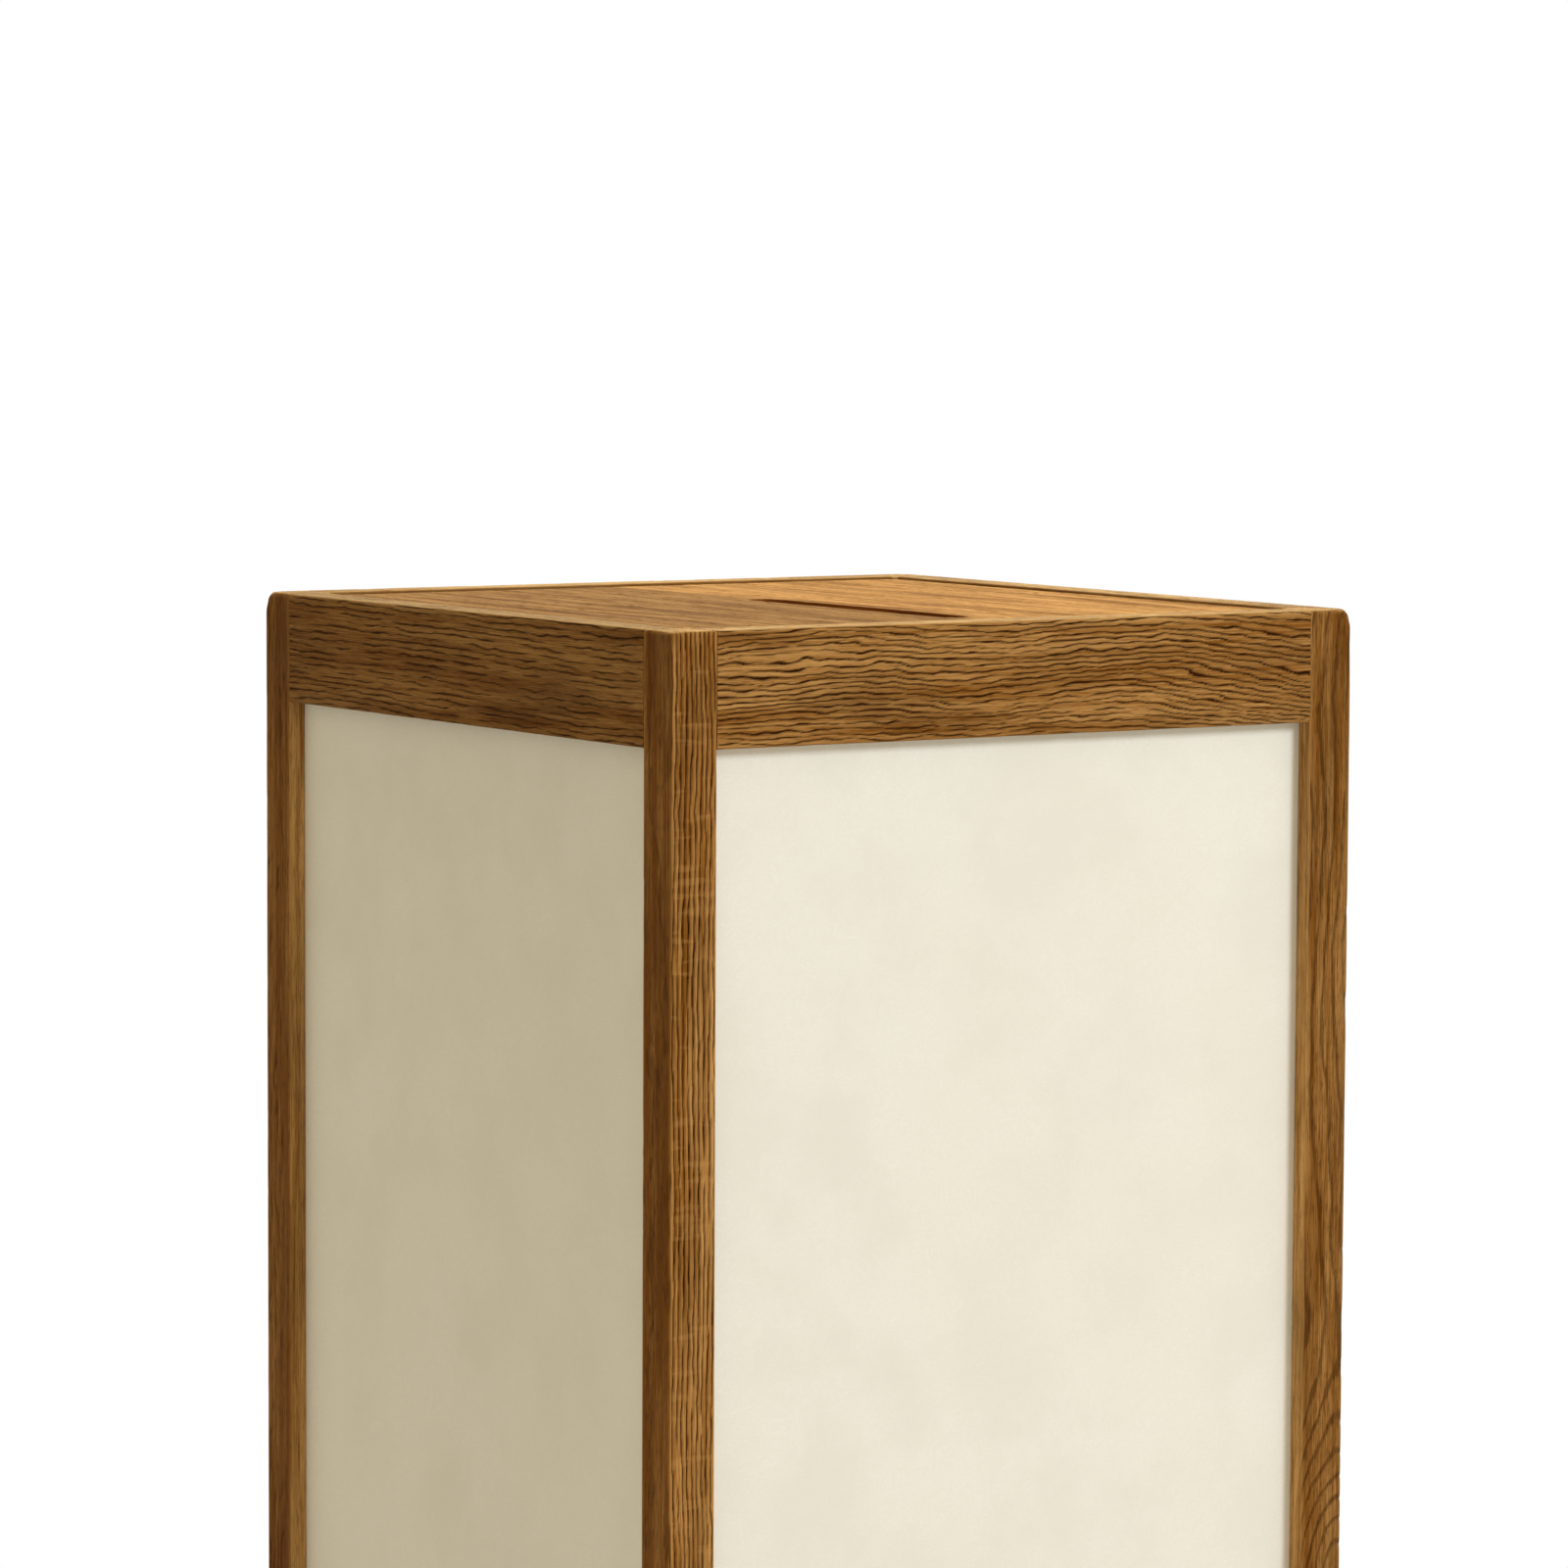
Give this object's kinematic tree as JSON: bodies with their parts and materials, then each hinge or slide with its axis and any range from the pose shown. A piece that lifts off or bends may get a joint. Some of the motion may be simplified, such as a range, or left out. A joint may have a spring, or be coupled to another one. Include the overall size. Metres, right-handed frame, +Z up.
{
  "type": "andon floor lamp",
  "caption": "Square oak andon floor lamp with plain paper panels between its posts, short legs and a lift-out lid with a vent slot.",
  "frame": {"origin": "on the floor, under the middle of the square frame", "axes": "+Z up, the front faces -Y, +X to the right as the front is seen"},
  "size_m": [0.3, 0.3, 0.6],
  "materials": {
    "oak": "wire-brushed oak, thin oil",
    "lid_oak": "brushed oak, thin oil",
    "inner_wood": "plain planed wood, not finished",
    "paper": "laminated washi, cream, matte",
    "screw_steel": "zinc plated",
    "felt": "dark brown wool felt",
    "porcelain": "white glaze",
    "brass": "bright brass",
    "bush_plastic": "dark moulded nylon",
    "insulator_black": "black glass-like insulator",
    "cap_metal": "nickel plated",
    "bulb_white": "white satin",
    "bulb_opal": "opal diffuser"
  },
  "bodies": {
    "frame": {"post_front_left": "oak", "foot_pad_front_left": "felt", "post_front_right": "oak", "foot_pad_front_right": "felt", "post_back_left": "oak", "foot_pad_back_left": "felt", "post_back_right": "oak", "foot_pad_back_right": "felt", "top_rail_front": "oak", "bottom_rail_front": "oak", "panel_front": "paper", "lid_ledge_front": "inner_wood", "top_rail_right": "oak", "bottom_rail_right": "oak", "panel_right": "paper", "lid_ledge_right": "inner_wood", "top_rail_back": "oak", "bottom_rail_back": "oak", "panel_back": "paper", "lid_ledge_back": "inner_wood", "top_rail_left": "oak", "bottom_rail_left": "oak", "panel_left": "paper", "lid_ledge_left": "inner_wood", "bar_cleat_left": "inner_wood", "bar_cleat_right": "inner_wood", "lamp_bar": "inner_wood", "ledge_screws": "screw_steel", "cleat_screws": "screw_steel", "bar_screws": "screw_steel", "holder_screws": "screw_steel", "holder_body": "porcelain", "holder_shell": "brass", "holder_contact": "brass", "cable_bush": "bush_plastic"},
    "lid": {"lid_board_left": "lid_oak", "lid_board_right": "lid_oak", "lid_batten_front": "inner_wood", "lid_batten_back": "inner_wood", "lid_screws": "screw_steel"},
    "bulb": {"bulb_tip": "brass", "bulb_insulator": "insulator_black", "bulb_cap": "cap_metal", "bulb_body": "bulb_white", "bulb_globe": "bulb_opal"}
  },
  "joints": [
    {"name": "lid_lift", "type": "slide", "parent": "frame", "child": "lid", "axis": [0, 0, 1], "range_m": [0, 0.15]},
    {"name": "bulb_lift", "type": "slide", "parent": "frame", "child": "bulb", "axis": [0, 0, 1], "range_m": [0, 0.12]}
  ]
}
